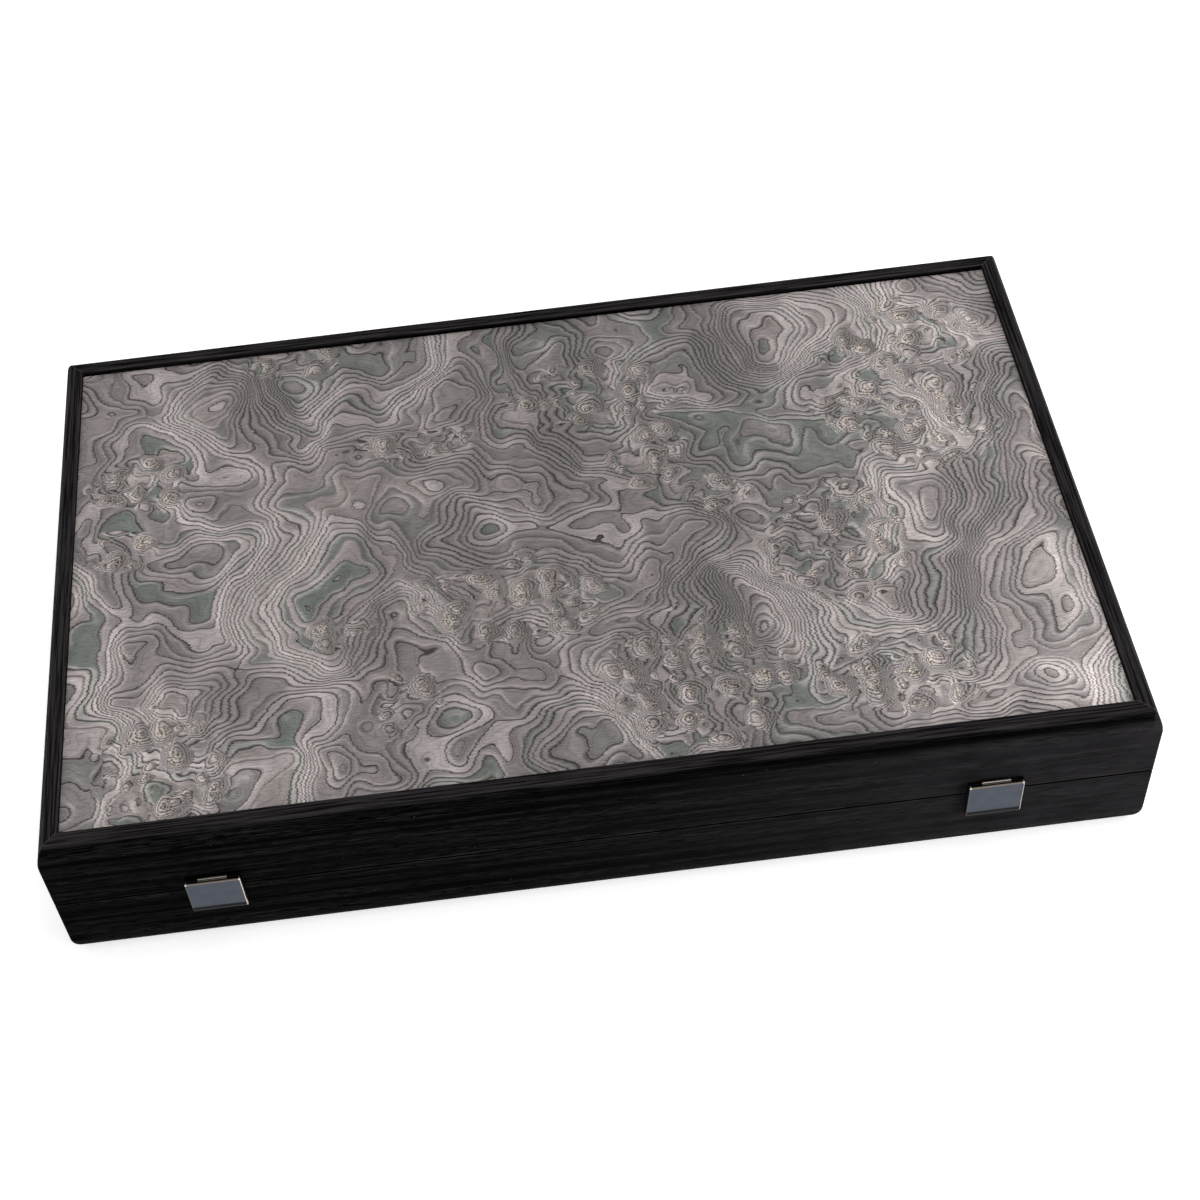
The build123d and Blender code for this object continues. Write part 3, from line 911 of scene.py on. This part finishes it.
@dataclass(frozen=True)
class ClaspPlating:
    """Black nickel of a clasp: a satin grey front, with painted highlights and glints on its edges and
    knuckle, and painted shade behind, below and within.

    Its masks read places on the closed case in millimetres: the front reaches from 31 to 48 up, and 12 to
    each side of the clasp's middle.
    """

    name: str
    middle: float = 170.0
    front: Colour = srgb(62, 67, 76)
    cloudy: Colour = srgb(74, 79, 88)
    # Dark of the painted shade, then the painted edge highlight and the painted glint.
    dark: Colour = srgb(15, 15, 17)
    edge: Colour = srgb(112, 103, 95)
    glint: Colour = srgb(225, 212, 200)

    def build(self) -> bpy.types.Material:
        """Builds the material.

        Returns:
            The material.
        """
        material, graph, shader = blank_material(self.name)
        spot = graph.spot()
        handling = graph.group(HANDLING, Vector=spot)
        fine = graph.noise(spot, 0.12, 2.0)
        cloud = graph.ramp(graph.noise(spot, 5.0, 2.0), 0.3, 0.7, 0.0, 0.5)
        base = graph.mix(cloud, self.front, self.cloudy)
        base = graph.mix(graph.times(handling["Scratches"], 0.2), base, self.cloudy)
        rough = graph.scaled(fine, 0.06, graph.scaled(handling["Smudges"], 0.08, 0.24))
        # The curl's painted shade also takes most of its metal away.
        graph.finish(shader, {
            "Base Color": self.edges(graph, spot, base), "Roughness": rough,
            "Metallic": graph.scaled(self.lip(graph, spot), -0.95, 1.0), "Specular IOR Level": 0.05},
            (fine, 0.15, 0.00003))
        return material

    def lip(self, graph: Graph, spot: Feed) -> Socket:
        """A mask of the curled lip under the front, which faces down and gets painted shade: a dark, mostly
        non-metallic colour.
        """
        return graph.ramp(graph.axes(spot)[2], 31.2, 30.6)

    def edges(self, graph: Graph, spot: Feed, base: Feed) -> Socket:
        """Paints shade on the curl and the parts behind the front, and paints highlights and glints on the
        front's edges and the knuckle's crest.

        Args:
            graph: The material's graph.
            spot: The coordinate in millimetres, with the case's middle at zero.
            base: The colour so far.

        Returns:
            The colour.
        """
        axes = graph.axes(spot)
        side = graph.times(graph.math("SIGN", axes[0]), -self.middle)
        across = graph.math("ADD", axes[0], side)
        curl = self.lip(graph, spot)
        # Painted shade on the curl and in the gap behind the front, round the knuckle.
        behind = graph.times(graph.ramp(axes[1], -153.3, -153.1), graph.ramp(axes[2], 46.4, 46.8))
        base = graph.mix(graph.math("MAXIMUM", curl, behind), base, self.dark)
        # Painted highlight along the front's top edge, and half as strong along its left edge.
        rim = graph.ramp(axes[2], 48.2, 48.5)
        left = graph.ramp(across, -11.6, -11.8, 0.0, 0.5)
        right = graph.ramp(across, 11.55, 11.75)
        outside = graph.ramp(axes[1], -152.3, -152.8)
        base = graph.mix(graph.times(graph.math("MAXIMUM", rim, left), outside), base, self.edge)
        # Painted glints at the top corners and down the right edge, and a painted highlight line along the
        # knuckle's crest.
        ends = graph.times(rim, graph.ramp(graph.math("ABSOLUTE", across), 11.0, 11.4))
        glint_mask = graph.times(graph.math("MAXIMUM", ends, right), outside)
        crest_highlight = graph.times(graph.ramp(axes[2], 49.22, 49.32), 0.45)
        return graph.mix(graph.math("MAXIMUM", glint_mask, crest_highlight), base, self.glint)


@dataclass(frozen=True)
class CastResin:
    """Smooth cast resin for dice and their pips."""

    name: str
    colour: Colour
    cloud: Colour
    roughness: float = 0.22

    def build(self) -> bpy.types.Material:
        """Builds the material.

        Returns:
            The material.
        """
        material, graph, shader = blank_material(self.name)
        spot = graph.spot(turn=20)
        streak = graph.noise(graph.mapped(spot, scale=(0.3, 1, 1)), 2.2)
        base = graph.mix(graph.ramp(streak, 0.35, 0.65), self.colour, self.cloud)
        rough = graph.scaled(graph.group(HANDLING, Vector=spot)["Smudges"], 0.1, self.roughness)
        graph.finish(shader, {"Base Color": base, "Roughness": rough})
        return material


def dress(node: str, material: bpy.types.Material) -> str:
    """Gives a CAD node its material.

    Args:
        node: The node's name.
        material: The material.

    Returns:
        The node's name.
    """
    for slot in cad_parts[node].material_slots:
        slot.material = material
    return node


class Shape:
    """A mesh in the making, in metres, in the frame's place."""

    def __init__(self) -> None:
        """Starts an empty mesh."""
        self.mesh = bmesh.new()

    def turned(self, profile: Sequence[tuple[float, float]], steps: int, place: Matrix) -> None:
        """Adds a turned form.

        Args:
            profile: Radius and height of the profile's points, from one end of the axis to the other.
            steps: Faces round the axis.
            place: Where the form goes; its axis is the local Z.
        """
        part = bmesh.new()
        chain = [part.verts.new((radius, 0, height)) for radius, height in profile]
        edges = [part.edges.new(pair) for pair in zip(chain, chain[1:])]
        bmesh.ops.spin(part, geom=chain + edges, cent=(0, 0, 0), axis=(0, 0, 1), angle=math.tau,
                       steps=steps, use_merge=True)
        bmesh.ops.remove_doubles(part, verts=part.verts, dist=1e-6)
        bmesh.ops.recalc_face_normals(part, faces=part.faces)
        self.join(part, place)

    def cube(self, size: Sequence[float], place: Matrix, bevel: float = 0.0, segments: int = 1) -> None:
        """Adds a box of the first material, with rounded edges if asked.

        Args:
            size: Its three lengths.
            place: Where its middle goes.
            bevel: Radius of its edges.
            segments: Faces across each rounded edge.
        """
        part = bmesh.new()
        bmesh.ops.create_cube(part, size=1.0)
        bmesh.ops.scale(part, vec=size, verts=part.verts)
        if bevel:
            bmesh.ops.bevel(part, geom=part.edges[:], offset=bevel, affect="EDGES", segments=segments,
                            profile=0.5, material=-1)
        self.join(part, place)

    def ball(self, radius: float, place: Matrix, material: int) -> None:
        """Adds a ball.

        Args:
            radius: Its radius.
            place: Where its middle goes.
            material: Number of its material.
        """
        part = bmesh.new()
        bmesh.ops.create_uvsphere(part, u_segments=20, v_segments=12, radius=radius)
        for face in part.faces:
            face.material_index = material
        self.join(part, place)

    def join(self, part: bmesh.types.BMesh, place: Matrix) -> None:
        """Moves a part into place and adds it to the shape.

        Args:
            part: The part, which is used up.
            place: Where it goes.
        """
        part.transform(place)
        held = bpy.data.meshes.new("part")
        part.to_mesh(held)
        part.free()
        self.mesh.from_mesh(held)
        bpy.data.meshes.remove(held)

    def to_object(self, name: str, materials: Sequence[bpy.types.Material],
                  angle: float = CREASE) -> bpy.types.Object:
        """Makes the object, smooth except at edges sharper than an angle.

        Args:
            name: The object's name.
            materials: Its materials by number.
            angle: The angle in degrees.

        Returns:
            The object.
        """
        data = bpy.data.meshes.new(name)
        self.mesh.to_mesh(data)
        self.mesh.free()
        for material in materials:
            data.materials.append(material)
        soften(data, angle)
        made = bpy.data.objects.new(name, data)
        bpy.context.scene.collection.objects.link(made)
        return made


def soften(data: bpy.types.Mesh, angle: float) -> None:
    """Shades a mesh smooth except at its sharp edges.

    Args:
        data: The mesh.
        angle: The least angle of a sharp edge, in degrees.
    """
    data.polygons.foreach_set("use_smooth", [True] * len(data.polygons))
    data.set_sharp_from_angle(angle=math.radians(angle))
    data.update()


def carve(piece: bpy.types.Object, tool: bpy.types.Object) -> None:
    """Cuts one mesh out of another and removes the tool.

    Args:
        piece: The object that is cut.
        tool: The object that cuts, whose material lines the cut. Its forms may cross each other.
    """
    cut = piece.modifiers.new("cut", "BOOLEAN")
    cut.object = tool
    cut.operation = "DIFFERENCE"
    cut.solver = "EXACT"
    cut.use_self = True
    cut.material_mode = "TRANSFER"
    graph = bpy.context.evaluated_depsgraph_get()
    data = bpy.data.meshes.new_from_object(piece.evaluated_get(graph))
    piece.modifiers.clear()
    piece.data = data
    data.name = piece.name
    soften(data, CREASE)
    bpy.data.objects.remove(tool)


def settle(piece: bpy.types.Object, body: str, slot: str, *nodes: str) -> str:
    """Makes a new piece ride on its body in place of its CAD nodes.

    Args:
        piece: The piece.
        body: The CAD body that it rides on.
        slot: Not used.
        *nodes: The CAD nodes that it stands for.

    Returns:
        The piece's name.
    """
    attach(piece, body)
    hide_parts(*nodes)
    return piece.name


def pairs(offset: float, pitch: float) -> list[float]:
    """Where four screws stand along X: two, a pitch apart, at the offset on each side of the middle."""
    return [middle + step * pitch for middle in (-offset, offset) for step in (-0.5, 0.5)]


@dataclass
class RailFrames:
    """The mitred rails of both halves, and the partition and dividers between them."""

    mitred: tuple[tuple[str, GrainRun], ...] = (
        ("front_rail", GrainRun.ALONG_LENGTH), ("back_rail", GrainRun.ALONG_LENGTH),
        ("left_rail", GrainRun.ALONG_DEPTH), ("right_rail", GrainRun.ALONG_DEPTH))
    butted: tuple[tuple[str, GrainRun], ...] = (
        ("rack_partition", GrainRun.ALONG_LENGTH), ("rack_dividers", GrainRun.ALONG_DEPTH))
    plank_step: float = 173.0

    def build(self) -> list[str]:
        """Dresses every rail, each with its own stretch of grain.

        Returns:
            The pieces' names.
        """
        made = []
        for half in HALVES:
            for name, run in self.mitred + self.butted:
                node = half + "_" + name
                seed = self.plank_step * (len(made) + 1)
                oak = BlackOak("oak_" + node, run, seed, (name, run) in self.mitred)
                made.append(dress(node, oak.build()))
        return made


@dataclass
class Panels:
    """The plywood panels with burl veneer outside."""

    base_shift: Triple = (31.0, -17.0, 0.0)

    def build(self) -> list[str]:
        """Dresses the cores and the outer veneers.

        Returns:
            The pieces' names.
        """
        ply = Plywood("birch_plywood").build()
        made = [dress("lid_panel_core", ply), dress("base_panel_core", ply)]
        made.append(dress("lid_burl_veneer", BurlVeneer("burl_lid").build()))
        made.append(dress("base_burl_veneer", BurlVeneer("burl_base", self.base_shift, -1.0).build()))
        return made


@dataclass
class PlayingField:
    """The field veneer inside both halves with its inlaid points."""

    field_veneer: GrainedWood = GrainedWood(
        "veneer_field", srgb(62, 60, 60), srgb(88, 85, 83), srgb(34, 33, 33), seed=37)
    points_dark: GrainedWood = GrainedWood(
        "veneer_point_dark", srgb(16, 15, 16), srgb(34, 32, 32), srgb(10, 10, 10), seed=91)
    points_light: GrainedWood = GrainedWood(
        "veneer_point_light", srgb(164, 158, 151), srgb(190, 185, 178), srgb(112, 105, 98), seed=211)

    def build(self) -> list[str]:
        """Dresses the field and the points.

        Returns:
            The pieces' names.
        """
        made = []
        for name, finish in (("field_veneer", self.field_veneer), ("points_dark", self.points_dark),
                             ("points_light", self.points_light)):
            material = finish.build()
            made += [dress(half + "_" + name, material) for half in HALVES]
        return made


@dataclass
class CheckerRow:
    """One colour's checkers, turned with a dished face and a ring, standing in their rack."""

    node: str
    finish: GrainedWood
    count: int = 15
    radius: float = 18.0 * MM
    thickness: float = 9.0 * MM
    steps: int = 56
    turn: float = 37.0
    crease: float = 40.0

    def half_profile(self) -> list[tuple[float, float]]:
        """Returns:
            The points.
        """
        top = self.thickness / 2
        dish = ((0.0, 1.3), (0.25, 1.28), (0.5, 1.18), (0.62, 0.95))
        ring = ((0.66, 0.62), (0.69, 0.5), (0.72, 0.62), (0.74, 0.3), (0.77, 0.08), (0.8, 0.0))
        rim = ((0.9, 0.0), (0.945, 0.12), (0.975, 0.45), (0.993, 0.9), (1.0, 1.5))
        return [(share * self.radius, top - drop * MM) for share, drop in dish + ring + rim]

    def build(self) -> list[str]:
        """Turns the checkers and sets them where the CAD row stands.

        Returns:
            The piece's name.
        """
        low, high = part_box(self.node)
        face = self.half_profile()
        profile = face + [(radius, -height) for radius, height in reversed(face)]
        pitch = (high.x - low.x - self.thickness) / (self.count - 1)
        upright = Matrix.Rotation(math.pi / 2, 4, "Y")
        shape = Shape()
        for index in range(self.count):
            x = low.x + self.thickness / 2 + index * pitch
            middle = Matrix.Translation((x, (low.y + high.y) / 2, (low.z + high.z) / 2))
            turn = Matrix.Rotation(math.radians(self.turn * index), 4, "X")
            shape.turned(profile, self.steps, middle @ (turn @ upright))
        piece = shape.to_object(self.node + "_turned", [self.finish.build()], self.crease)
        return [settle(piece, "base", self.finish.name, self.node)]


@dataclass
class DicePair:
    """Two dice with drilled pips, lying in the well between the racks."""

    size: float = 14.0 * MM
    edge: float = 1.7 * MM
    edge_faces: int = 4
    pip_radius: float = 1.9 * MM
    pip_depth: float = 0.55 * MM
    pip_spacing: float = 3.7 * MM
    spacing: float = 26.0 * MM
    middle_y: float = -120.0 * MM
    turns: tuple[float, float] = (12.0, -27.0)

    def pips(self, number: int) -> list[tuple[float, float]]:
        """Where a face's pips are.

        Args:
            number: The face's number.

        Returns:
            Their places on the face, in steps of the spacing.
        """
        corner = [(-1.0, -1.0), (1.0, 1.0), (-1.0, 1.0), (1.0, -1.0)]
        places = corner[: number - number % 2] if number < 6 else corner + [(-1.0, 0.0), (1.0, 0.0)]
        return places + [(0.0, 0.0)] if number % 2 else places

    def build(self) -> list[str]:
        """Rounds the dice and drills their pips.

        Returns:
            The piece's name.
        """
        ivory = CastResin("dice_resin", srgb(226, 218, 198), srgb(236, 231, 217)).build()
        ink = CastResin("pip_paint", srgb(18, 17, 18), srgb(28, 26, 27), 0.4).build()
        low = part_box("dice")[0]
        faces = ((1, "X", 0.0), (6, "X", 180.0), (2, "X", 90.0), (5, "X", -90.0),
                 (3, "Y", 90.0), (4, "Y", -90.0))
        drill_height = self.size / 2 + self.pip_radius - self.pip_depth
        bodies, drills = Shape(), Shape()
        for side, turn in zip((-0.5, 0.5), self.turns):
            middle = Vector((side * self.spacing, self.middle_y, low.z + self.size / 2))
            place = Matrix.Translation(middle) @ Matrix.Rotation(math.radians(turn), 4, "Z")
            bodies.cube((self.size,) * 3, place, self.edge, self.edge_faces)
            for number, axis, angle in faces:
                face = place @ Matrix.Rotation(math.radians(angle), 4, axis)
                for right, up in self.pips(number):
                    spot = Vector((right * self.pip_spacing, up * self.pip_spacing, drill_height))
                    drills.ball(self.pip_radius, face @ Matrix.Translation(spot), 1)
        piece = bodies.to_object("dice_drilled", [ivory, ink])
        carve(piece, drills.to_object("pip_drills", [ivory, ink]))
        return [settle(piece, "base", "dice_ivory", "dice")]


@dataclass(frozen=True)
class ScrewSize:
    """A countersunk screw: its head's radius, the plate it is sunk in and its length."""

    head_radius: float
    plate: float
    length: float


@dataclass
class ScrewSet:
    """Countersunk screws with a cross recess, in place of one node's plain screws.

    A place is the middle of a head, with Z out of the plate. The recess is measured in head radii.
    """

    node: str
    body: str
    slot: str
    places: list[Matrix]
    size: ScrewSize
    recess_length: float = 1.15
    recess_width: float = 0.24
    first_turn: float = 31.0
    turn: float = 47.0

    def build(self, material: bpy.types.Material) -> list[str]:
        """Turns the screws and cuts their recesses.

        Args:
            material: Their metal.

        Returns:
            The piece's name.
        """
        rim, plate, length = self.size.head_radius, self.size.plate, self.size.length
        shank = rim - plate
        profile = ((0.0, 0.0), (rim * 0.9, 0.0), (rim * 0.985, -0.04 * MM), (shank, -plate),
                   (shank, 1.2 * shank - length), (0.25 * shank, -length), (0.0, -length))
        recess = (self.recess_length * rim, self.recess_width * rim, 1.2 * plate)
        screws, recesses = Shape(), Shape()
        for index, place in enumerate(self.places):
            turned = place @ Matrix.Rotation(math.radians(self.first_turn + self.turn * index), 4, "Z")
            screws.turned(profile, 24, turned)
            for angle in (0.0, 90.0):
                recesses.cube(recess, turned @ Matrix.Rotation(math.radians(angle), 4, "Z"))
        piece = screws.to_object(self.node + "_cut", [material])
        carve(piece, recesses.to_object(self.node + "_recess", [material]))
        return [settle(piece, self.body, self.slot, self.node)]


@dataclass
class Hinges:
    """The two butt hinges let into the back rims, and their screws."""

    offset: float = 155.0 * MM
    screw_pitch: float = 17.5 * MM
    screw_y: float = 144.625 * MM
    sunk: float = 0.15 * MM
    screw: ScrewSize = ScrewSize(1.9 * MM, 1.0 * MM, 9.0 * MM)

    def build(self) -> list[str]:
        """Dresses the leaves and pins and cuts the screws.

        Returns:
            The pieces' names.
        """
        steel = SatinMetal("hinge_satin", srgb(138, 134, 128), srgb(112, 108, 102), 0.3, brushed=True).build()
        made = []
        for side in SIDES:
            made += [dress("hinge_" + side + "_" + part, steel) for part in ("base_leaf", "lid_leaf", "pin")]
        for body, way, facing in (("base", -1, 0.0), ("lid", 1, math.pi)):
            places = []
            for x in pairs(self.offset, self.screw_pitch):
                spot = Matrix.Translation((x, self.screw_y, SEAM * MM + way * self.sunk))
                places.append(spot @ Matrix.Rotation(facing, 4, "X"))
            screws = ScrewSet("hinge_" + body + "_screws", body, "hinge_steel", places, self.screw)
            made += screws.build(steel)
        return made


@dataclass
class Clasps:
    """The two flap clasps on the front, and the screws of their plates."""

    offset: float = 170.0 * MM
    screw_pitch: float = 11.0 * MM
    front_y: float = -150.8 * MM
    screw: ScrewSize = ScrewSize(1.5 * MM, 0.8 * MM, 7.0 * MM)

    def build(self) -> list[str]:
        """Dresses the flaps, pins and plates and cuts the screws.

        Returns:
            The pieces' names.
        """
        metal = ClaspPlating("clasp_black_nickel").build()
        plate = SatinMetal("clasp_plate_satin", srgb(62, 67, 76), srgb(74, 79, 88), 0.26).build()
        made = []
        for side in SIDES:
            made += [dress("clasp_" + side + "_" + part, metal) for part in ("flap", "pin", "mount")]
            made.append(dress("clasp_" + side + "_catch", plate))
        forward = Matrix.Rotation(math.pi / 2, 4, "X")
        for node, body in (("clasp_mount_screws", "lid"), ("clasp_catch_screws", "base")):
            low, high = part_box(node)
            places = []
            for x in pairs(self.offset, self.screw_pitch):
                places.append(Matrix.Translation((x, self.front_y, (low.z + high.z) / 2)) @ forward)
            made += ScrewSet(node, body, "clasp_gunmetal", places, self.screw).build(plate)
        return made


@dataclass
class Studio:
    """A white sweep, soft lamps and the photograph's camera."""

    floor_half: float = 6.0
    floor_gap: float = 0.3 * MM
    floor_white: float = 0.9
    floor_glow: float = 0.58
    underside_reach: float = 12.0 * MM
    camera_place: Triple = (-0.02691, -0.65763, 0.81197)
    camera_turn: Triple = (39.744, 3.81, -5.847)
    camera_range: tuple[float, float] = (0.05, 50.0)
    sensor: float = 36.0
    lens: float = 63.4815
    shift_x: float = 0.04596
    ambient: float = 0.45
    lamps: tuple[tuple[str, Triple, float, float], ...] = (
        ("overhead", (0.5, 0.3, 2.2), 1.6, 16.0),
        ("left_fill", (-2.0, -0.9, 1.1), 1.4, 6.0),
        ("right_fill", (2.1, 0.2, 1.3), 1.4, 6.0),
        ("front_right", (0.95, -0.85, 0.4), 0.4, 5.0),
    )

    def build(self) -> None:
        """Sets up the floor, the world, the lamps, the camera and the view."""
        self.floor()
        self.world()
        for name, place, size, power in self.lamps:
            self.lamp(name, place, size, power)
        self.camera()
        bpy.context.scene.view_settings.view_transform = "Standard"

    def seen(self, graph: Graph) -> Socket:
        """Tells the rays that look at the background from those that only carry light.

        Args:
            graph: The material's or the world's graph.

        Returns:
            1 for the camera's rays and for those in gloss and glass, else 0.
        """
        path = graph.node("LightPath").outputs
        seen = graph.math("ADD", path["Is Camera Ray"], path["Is Glossy Ray"])
        return graph.math("ADD", seen, path["Is Transmission Ray"], clamp=True)

    def floor(self) -> None:
        """Lays the white floor, which keeps the shadow and is open to light and eyes from below."""
        part = bmesh.new()
        bmesh.ops.create_grid(part, x_segments=1, y_segments=1, size=self.floor_half)
        bmesh.ops.translate(part, vec=(0, 0, -self.floor_gap), verts=part.verts)
        data = bpy.data.meshes.new("studio_floor")
        part.to_mesh(data)
        part.free()
        sheet = bpy.data.objects.new("studio_floor", data)
        bpy.context.scene.collection.objects.link(sheet)
        material, graph, shader = blank_material("studio_white")
        data.materials.append(material)
        graph.finish(shader, {"Base Color": (self.floor_white,) * 3, "Roughness": 0.9,
                              "Specular IOR Level": 0.0})
        strength = graph.times(self.seen(graph), self.floor_glow)
        glow = graph.node("Emission", {"Color": (1.0, 1.0, 1.0), "Strength": strength})
        lit = graph.node("AddShader", {0: shader.outputs[0], 1: glow.outputs[0]})
        below = graph.node("NewGeometry").outputs["Backfacing"]
        path = graph.node("LightPath").outputs
        close = graph.math("LESS_THAN", path["Ray Length"], self.underside_reach)
        unseen = graph.math("MAXIMUM", below, graph.times(close, path["Is Diffuse Ray"]))
        clear = graph.node("BsdfTransparent")
        sided = graph.node("MixShader", {0: unseen, 1: lit.outputs[0], 2: clear.outputs[0]})
        graph.feed(material.node_tree.nodes["Material Output"].inputs["Surface"], sided.outputs[0])

    def world(self) -> None:
        """Makes the world white to the camera, to gloss and to glass, and a plain soft light to the rest."""
        world = bpy.data.worlds.new("studio_air")
        bpy.context.scene.world = world
        world.use_nodes = True
        graph = Graph(world.node_tree)
        strength = graph.scaled(self.seen(graph), 1.0 - self.ambient, self.ambient)
        air = world.node_tree.nodes["Background"]
        graph.finish(air, {"Color": (1.0, 1.0, 1.0), "Strength": strength})

    def lamp(self, name: str, place: Sequence[float], size: float, power: float) -> None:
        """Hangs a square soft lamp that faces the case.

        Args:
            name: The lamp's name.
            place: Where it hangs.
            size: Its side.
            power: Its power in watts.
        """
        data = bpy.data.lights.new(name, "AREA")
        data.size = size
        data.energy = power
        lamp = bpy.data.objects.new(name, data)
        lamp.location = place
        lamp.rotation_euler = (-Vector(place)).to_track_quat("-Z", "Y").to_euler()
        bpy.context.scene.collection.objects.link(lamp)

    def camera(self) -> None:
        """Sets the camera where the photograph was taken from."""
        data = bpy.data.cameras.new("photo_camera")
        data.sensor_width = self.sensor
        data.lens = self.lens
        data.shift_x = self.shift_x
        data.clip_start, data.clip_end = self.camera_range
        eye = bpy.data.objects.new("photo_camera", data)
        eye.location = self.camera_place
        eye.rotation_euler = [math.radians(angle) for angle in self.camera_turn]
        bpy.context.scene.collection.objects.link(eye)
        bpy.context.scene.camera = eye


def main() -> None:
    """Builds the studio and the case's looks, and reports each piece."""
    logging.basicConfig(level=logging.INFO, format="%(name)s: %(message)s")
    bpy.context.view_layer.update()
    Studio().build()
    light = GrainedWood("checker_light", srgb(176, 168, 156), srgb(214, 208, 197), srgb(132, 122, 110),
                        GrainRun.ALONG_DEPTH, 19, 0.3, 0.4)
    dark = GrainedWood("checker_dark", srgb(17, 16, 17), srgb(38, 36, 36), srgb(8, 8, 8),
                       GrainRun.ALONG_DEPTH, 53, 0.3, 0.4)
    assemblies = (RailFrames(), Panels(), PlayingField(), CheckerRow("checkers_dark", dark),
                  CheckerRow("checkers_light", light), DicePair(), Hinges(), Clasps())
    for assembly in assemblies:
        for name in assembly.build():
            LOG.info("%s: %s", type(assembly).__name__, name)


if __name__ == "__main__":
    main()
